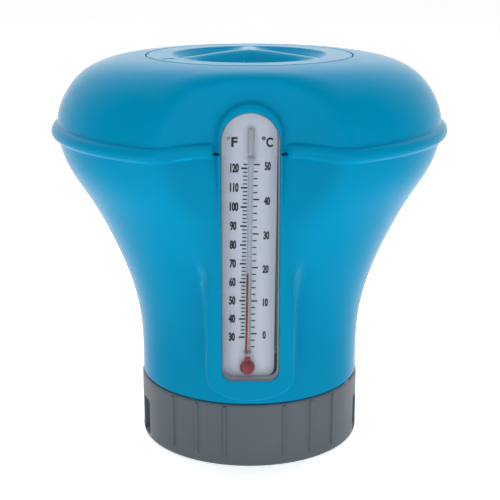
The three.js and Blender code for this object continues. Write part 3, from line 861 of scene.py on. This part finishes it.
def print_numbers():
    meshes = []
    for degrees in range(30, 121, 10):
        z = scale_height(degrees)
        meshes.append(lettering(str(degrees), tube_x(z) - 6.35, z, 3.3, 0.52, 0.19))
    for degrees in range(0, 51, 10):
        z = scale_height(degrees * 1.8 + 32) - 0.8
        meshes.append(lettering(str(degrees), tube_x(z) + 6.45, z, 3.1, 0.52, 0.17))
    middle = tube_x(139)
    meshes.append(lettering("F", middle - 6.45, 138.1, 3.6, 1.1, 0.2))
    meshes.append(lettering("o", middle - 8.6, 139.9, 1.7, 0.9, 0.03))
    meshes.append(lettering("C", middle + 6.95, 138.0, 3.5, 0.76, 0.18))
    meshes.append(lettering("o", middle + 4.75, 139.9, 1.8, 0.95, 0.15))
    return merged_print("scale_numbers", meshes)


def thermometer_lens():
    """The clear window, with a stiffening rail inside each long edge."""
    made = plate("clear_lens", [inner_outline(0, 0)], LENS["front"], LENS["back"], bevel=0.6)
    rails = []
    for side in (-1, 1):
        rail = [(x + side * (LENS["half"] - 1.35), z) for x, z in stadium(0.4, 55.5, 133.5)]
        rails.append(plate("rail", [rail], LENS["back"] + 0.2, LENS["back"] - 0.8, bevel=0.25))
    join_solids(made, *rails)
    tidy_mesh(made)
    return made


def lens_gasket():
    """A thin upright ring between the lens and the tray, pale as a painted reflection of the lens's side
    walls.
    """
    outlines = [inner_outline(0.05, 0), inner_outline(0.4, 0.35)]
    return plate("gasket", outlines, LENS["back"] - 0.1, 56.5, bevel=0.1)


# ---- materials ----
def new_material(name):
    material = bpy.data.materials.new(name)
    material.use_nodes = True
    nodes, links = material.node_tree.nodes, material.node_tree.links
    shader = nodes["Principled BSDF"]
    return material, nodes, links, shader


def noise(nodes, links, scale, detail=3.0):
    """A noise over the object's own coordinates, with features a millimetre wide at scale 1."""
    place = nodes.new("ShaderNodeTexCoord")
    texture = nodes.new("ShaderNodeTexNoise")
    texture.inputs["Scale"].default_value = scale / MM / 2
    texture.inputs["Detail"].default_value = detail
    links.new(place.outputs["Object"], texture.inputs["Vector"])
    return texture.outputs["Fac"]


def spread(nodes, links, value, low, high):
    """The value stretched from its middle range to the two numbers given."""
    ranged = nodes.new("ShaderNodeMapRange")
    ranged.inputs["From Min"].default_value = 0.3
    ranged.inputs["From Max"].default_value = 0.7
    ranged.inputs["To Min"].default_value = low
    ranged.inputs["To Max"].default_value = high
    links.new(value, ranged.inputs["Value"])
    return ranged.outputs["Result"]


def blend_colours(nodes, links, factor, first, second):
    """Two colours mixed by a factor. Either may be a colour or another node's output."""
    mix = nodes.new("ShaderNodeMix")
    mix.data_type = "RGBA"
    links.new(factor, mix.inputs["Factor"])
    for socket, colour in ((mix.inputs[6], first), (mix.inputs[7], second)):
        if isinstance(colour, tuple):
            socket.default_value = (*colour, 1)
        else:
            links.new(colour, socket)
    return mix.outputs[2]


def worn_edges(nodes, links, start=0.535, end=0.58):
    """High along outer edges, where the colour is paled as a painted highlight."""
    geometry = nodes.new("ShaderNodeNewGeometry")
    ranged = nodes.new("ShaderNodeMapRange")
    ranged.inputs["From Min"].default_value = start
    ranged.inputs["From Max"].default_value = end
    links.new(geometry.outputs["Pointiness"], ranged.inputs["Value"])
    return ranged.outputs["Result"]


def add_bump(nodes, links, shader, height, distance, strength):
    bump = nodes.new("ShaderNodeBump")
    bump.inputs["Distance"].default_value = distance * MM
    bump.inputs["Strength"].default_value = strength
    links.new(height, bump.inputs["Height"])
    links.new(bump.outputs["Normal"], shader.inputs["Normal"])


def moulded_plastic(name, dark, light, edge, rough, grain=0.3, bump=0.012, gloss=0.5, edge_highlight_amount=0.5):
    """Moulded plastic: a faint drift of colour, uneven gloss, fine grain and edges paled by a painted
    highlight.
    """
    material, nodes, links, shader = new_material(name)
    drift = spread(nodes, links, noise(nodes, links, 0.03), 0, 1)
    body = blend_colours(nodes, links, drift, dark, light)
    edges = nodes.new("ShaderNodeMath")
    edges.operation = "MULTIPLY"
    edges.inputs[1].default_value = edge_highlight_amount
    links.new(worn_edges(nodes, links), edges.inputs[0])
    # the edge colour is laid along outer edges as a painted highlight
    coloured = blend_colours(nodes, links, edges.outputs[0], body, edge)
    links.new(coloured, shader.inputs["Base Color"])
    uneven = spread(nodes, links, noise(nodes, links, 0.11, 5), rough * 0.85, rough * 1.2)
    links.new(uneven, shader.inputs["Roughness"])
    add_bump(nodes, links, shader, noise(nodes, links, grain, 4), bump, 0.35)
    shader.inputs["Specular IOR Level"].default_value = gloss
    return material


def rubber(name, dark, dusty_colour):
    material, nodes, links, shader = new_material(name)
    dusty = spread(nodes, links, noise(nodes, links, 0.4, 6), 0, 1)
    colour = blend_colours(nodes, links, dusty, dark, dusty_colour)
    links.new(colour, shader.inputs["Base Color"])
    links.new(spread(nodes, links, noise(nodes, links, 0.8), 0.62, 0.85), shader.inputs["Roughness"])
    add_bump(nodes, links, shader, noise(nodes, links, 2.2, 5), 0.02, 0.4)
    return material


def printed_card():
    """Silver-grey coated card with a fine speckle and uneven gloss."""
    material, nodes, links, shader = new_material("silver_card")
    speckle = spread(nodes, links, noise(nodes, links, 3.0, 6), 0, 1)
    colour = blend_colours(nodes, links, speckle, (0.87, 0.9, 0.98), (0.92, 0.95, 1.0))
    links.new(colour, shader.inputs["Base Color"])
    links.new(spread(nodes, links, noise(nodes, links, 0.2, 4), 0.34, 0.5), shader.inputs["Roughness"])
    add_bump(nodes, links, shader, noise(nodes, links, 2.6, 4), 0.006, 0.4)
    return material


def clear_cover(name, tint, gloss_rough, strength):
    """A thin clear piece: light goes straight through it, and its face still shines."""
    material, nodes, links, shader = new_material(name)
    nodes.remove(shader)
    output = nodes["Material Output"]
    through = nodes.new("ShaderNodeBsdfTransparent")
    through.inputs["Color"].default_value = (*tint, 1)
    shine = nodes.new("ShaderNodeBsdfPrincipled")
    smears = spread(nodes, links, noise(nodes, links, 0.12, 5), gloss_rough, gloss_rough * 2.2)
    links.new(smears, shine.inputs["Roughness"])
    clean = blend_colours(nodes, links, noise(nodes, links, 0.08), (0.75, 0.8, 0.84), (0.9, 0.93, 0.95))
    links.new(clean, shine.inputs["Base Color"])
    edge = nodes.new("ShaderNodeLayerWeight")
    edge.inputs["Blend"].default_value = strength
    add_bump(nodes, links, shine, noise(nodes, links, 0.3, 3), 0.004, 0.3)
    mix = nodes.new("ShaderNodeMixShader")
    links.new(edge.outputs["Fresnel"], mix.inputs["Fac"])
    links.new(through.outputs[0], mix.inputs[1])
    links.new(shine.outputs[0], mix.inputs[2])
    links.new(mix.outputs[0], output.inputs["Surface"])
    return material


def spirit_red():
    material, nodes, links, shader = new_material("red_spirit")
    depth = spread(nodes, links, noise(nodes, links, 0.5, 3), 0, 1)
    colour = blend_colours(nodes, links, depth, (0.5, 0.03, 0.045), (0.66, 0.06, 0.085))
    links.new(colour, shader.inputs["Base Color"])
    links.new(spread(nodes, links, noise(nodes, links, 0.3), 0.1, 0.2), shader.inputs["Roughness"])
    return material


def bright_steel():
    material, nodes, links, shader = new_material("steel")
    scratched = spread(nodes, links, noise(nodes, links, 2.0, 6), 0, 1)
    colour = blend_colours(nodes, links, scratched, (0.8, 0.8, 0.82), (0.9, 0.9, 0.92))
    links.new(colour, shader.inputs["Base Color"])
    links.new(spread(nodes, links, noise(nodes, links, 1.2, 5), 0.35, 0.55), shader.inputs["Roughness"])
    shader.inputs["Metallic"].default_value = 0.5
    return material


def printing_ink():
    material, nodes, links, shader = new_material("printing_ink")
    worn = spread(nodes, links, noise(nodes, links, 1.2, 5), 0, 1)
    colour = blend_colours(nodes, links, worn, (0.012, 0.013, 0.02), (0.035, 0.037, 0.05))
    links.new(colour, shader.inputs["Base Color"])
    links.new(spread(nodes, links, noise(nodes, links, 0.8), 0.4, 0.6), shader.inputs["Roughness"])
    return material


MATERIALS = {
    # each moulded plastic's third colour is a painted highlight laid along its edges
    "blue_plastic": moulded_plastic(
        "blue_plastic", (0.0, 0.277, 0.5), (0.0, 0.29, 0.522), (0.0, 0.4, 0.68), 0.18, gloss=0.06,
        edge_highlight_amount=0.7),
    # the grey plastic's pale edge colour paints a highlight on the collar's round top edge
    "grey_plastic": moulded_plastic(
        "grey_plastic", (0.133, 0.155, 0.175), (0.15, 0.174, 0.195), (0.36, 0.385, 0.42), 0.42,
        grain=0.7, bump=0.02, gloss=0.4, edge_highlight_amount=0.9),
    "black_rubber": rubber("black_rubber", (0.012, 0.012, 0.013), (0.035, 0.035, 0.037)),
    # pale_silicone paints the light line that the lens's side walls reflect
    "pale_silicone": rubber("pale_silicone", (0.6, 0.63, 0.7), (0.7, 0.73, 0.8)),
    "clear_plastic": clear_cover("clear_plastic", (0.97, 0.985, 1.0), 0.04, 0.25),
    "glass": clear_cover("glass", (0.96, 0.97, 0.98), 0.02, 0.3),
    "silver_card": printed_card(),
    # dark_plastic is painted shade: it stands for the shaded housing seen beside the card
    "dark_plastic": moulded_plastic(
        "dark_plastic", (0.02, 0.06, 0.09), (0.03, 0.08, 0.11), (0.08, 0.16, 0.2), 0.45, grain=0.8),
    "white_plastic": moulded_plastic(
        "white_plastic", (0.48, 0.49, 0.5), (0.55, 0.56, 0.57), (0.75, 0.75, 0.75), 0.4, grain=0.8),
    "red_spirit": spirit_red(),
    "steel": bright_steel(),
}
INK = printing_ink()


def finish_piece(obj, slot, nodes=(), body="float", material=None):
    obj.data.materials.clear()
    obj.data.materials.append(material or MATERIALS[slot])
    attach(obj, body)
    if nodes:
        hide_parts(*nodes)
    return obj


def dress_cad_nodes(shown):
    """Gives the CAD nodes that stay in view their own procedural finish."""
    for name, slot in shown.items():
        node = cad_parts[name]
        node.data.materials.clear()
        node.data.materials.append(MATERIALS[slot])


# ---- stage ----
def add_floor():
    half, level = 12.0, -0.0002
    mesh = bpy.data.meshes.new("floor")
    corners = [(-half, -half, level), (half, -half, level), (half, half, level), (-half, half, level)]
    mesh.from_pydata(corners, [], [(0, 1, 2, 3)])
    floor = bpy.data.objects.new("floor", mesh)
    scene.collection.objects.link(floor)
    material, nodes, links, shader = new_material("pale_floor")
    drift = noise(nodes, links, 0.02)
    tone = blend_colours(nodes, links, drift, (0.93, 0.93, 0.93), (0.96, 0.96, 0.96))
    links.new(tone, shader.inputs["Base Color"])
    shader.inputs["Roughness"].default_value = 0.9
    shader.inputs["Specular IOR Level"].default_value = 0.1
    links.new(tone, shader.inputs["Emission Color"])
    shader.inputs["Emission Strength"].default_value = 0.7
    mesh.materials.append(material)
    floor.visible_glossy = False


def add_light(name, place, aim, size, power):
    """A soft rectangular lamp that lights the object without a mirror image in its gloss."""
    light = bpy.data.lights.new(name, "AREA")
    light.shape = "RECTANGLE"
    light.size, light.size_y = size
    light.energy = power
    obj = bpy.data.objects.new(name, light)
    obj.location = place
    obj.rotation_euler = (Vector(aim) - Vector(place)).to_track_quat("-Z", "Y").to_euler()
    obj.visible_glossy = False
    scene.collection.objects.link(obj)


def add_world():
    """A studio that is white to look at. Its far side lights the object, its near side is dim."""
    world = bpy.data.worlds.new("studio")
    world.use_nodes = True
    nodes, links = world.node_tree.nodes, world.node_tree.links
    background = nodes["Background"]
    place = nodes.new("ShaderNodeTexCoord")
    parts = nodes.new("ShaderNodeSeparateXYZ")
    links.new(place.outputs["Generated"], parts.inputs[0])
    ramp = nodes.new("ShaderNodeValToRGB")
    ranged = nodes.new("ShaderNodeMapRange")
    ranged.inputs["From Min"].default_value = -1
    ranged.inputs["From Max"].default_value = 1
    links.new(parts.outputs["Y"], ranged.inputs["Value"])
    links.new(ranged.outputs["Result"], ramp.inputs["Fac"])
    near, far = ramp.color_ramp.elements
    near.position, near.color = 0.55, (0.03, 0.03, 0.03, 1)
    far.position, far.color = 0.85, (1.0, 1.0, 1.0, 1)
    seen = nodes.new("ShaderNodeLightPath").outputs["Is Camera Ray"]
    shown = blend_colours(nodes, links, seen, ramp.outputs["Color"], (1.0, 1.0, 1.0))
    links.new(shown, background.inputs["Color"])
    background.inputs["Strength"].default_value = 1.08
    scene.world = world


def add_camera():
    """A long lens in front of the object, looking slightly down."""
    pitch, turn = math.radians(15.406), math.radians(-0.36)
    camera = bpy.data.cameras.new("camera")
    camera.lens = 84.96
    camera.sensor_width = 36
    camera.clip_start = 0.01
    obj = bpy.data.objects.new("camera", camera)
    spin = Matrix.Rotation(turn, 4, "Z")
    obj.location = spin @ Vector((0.00024, -0.495885, 0.217212))
    obj.rotation_euler = (math.pi / 2 - pitch, 0, turn)
    scene.collection.objects.link(obj)
    scene.camera = obj


# ---- assembly ----
add_camera()
add_world()
add_floor()
add_light("overhead", (0, 0.1, 1.1), (0, 0, 0.1), (1.4, 1.2), 9.0)
add_light("left_fill", (-0.9, -0.9, 0.5), (0, 0, 0.08), (0.9, 0.9), 3.15)
add_light("right_fill", (1.0, -0.8, 0.45), (0, 0, 0.08), (0.9, 0.9), 3.5)
scene.view_settings.view_transform = "Standard"

finish_piece(lower_shell(), "blue_plastic", ["lower_shell"])
finish_piece(upper_shell(), "blue_plastic", ["upper_shell"])
finish_piece(refill_lid(), "blue_plastic", ["refill_lid"], "refill_lid")
finish_piece(vent_collar(), "grey_plastic", ["vent_collar"], "vent_collar")
finish_piece(tablet_grate(), "blue_plastic", ["tablet_grate"])
finish_piece(o_ring("lid_ring", 41.7, 161.8, 1.6, 1.0), "black_rubber", ["lid_seal"], "lid_seal")
finish_piece(thermometer_tray(), "dark_plastic", ["thermometer_tray"])
finish_piece(thermometer_card(), "silver_card", ["thermometer_scale"])
finish_piece(print_marks(), "silver_card", material=INK)
finish_piece(print_numbers(), "silver_card", material=INK)
glass_tube = bulbed("glass_tube", TUBE_RADIUS, BULB["radius"], BULB["depth"], TUBE_TOP)
finish_piece(glass_tube, "glass", ["capillary_tube"])
finish_piece(indicator_spirit(), "red_spirit", ["indicator_spirit"])
finish_piece(tube_sleeve(), "white_plastic", ["tube_end_sleeve"])
finish_piece(tube_clip("upper_clip", 132.0), "steel", ["tube_clip_upper"])
finish_piece(tube_clip("lower_clip", 54.1), "steel", ["tube_clip_lower"])
finish_piece(lens_gasket(), "pale_silicone", ["lens_gasket"])
finish_piece(thermometer_lens(), "clear_plastic", ["thermometer_lens"])
dress_cad_nodes({
    "chamber_tube": "blue_plastic",
    "chamber_seal_upper": "black_rubber",
    "chamber_seal_lower": "black_rubber",
    "shell_seal": "black_rubber",
})
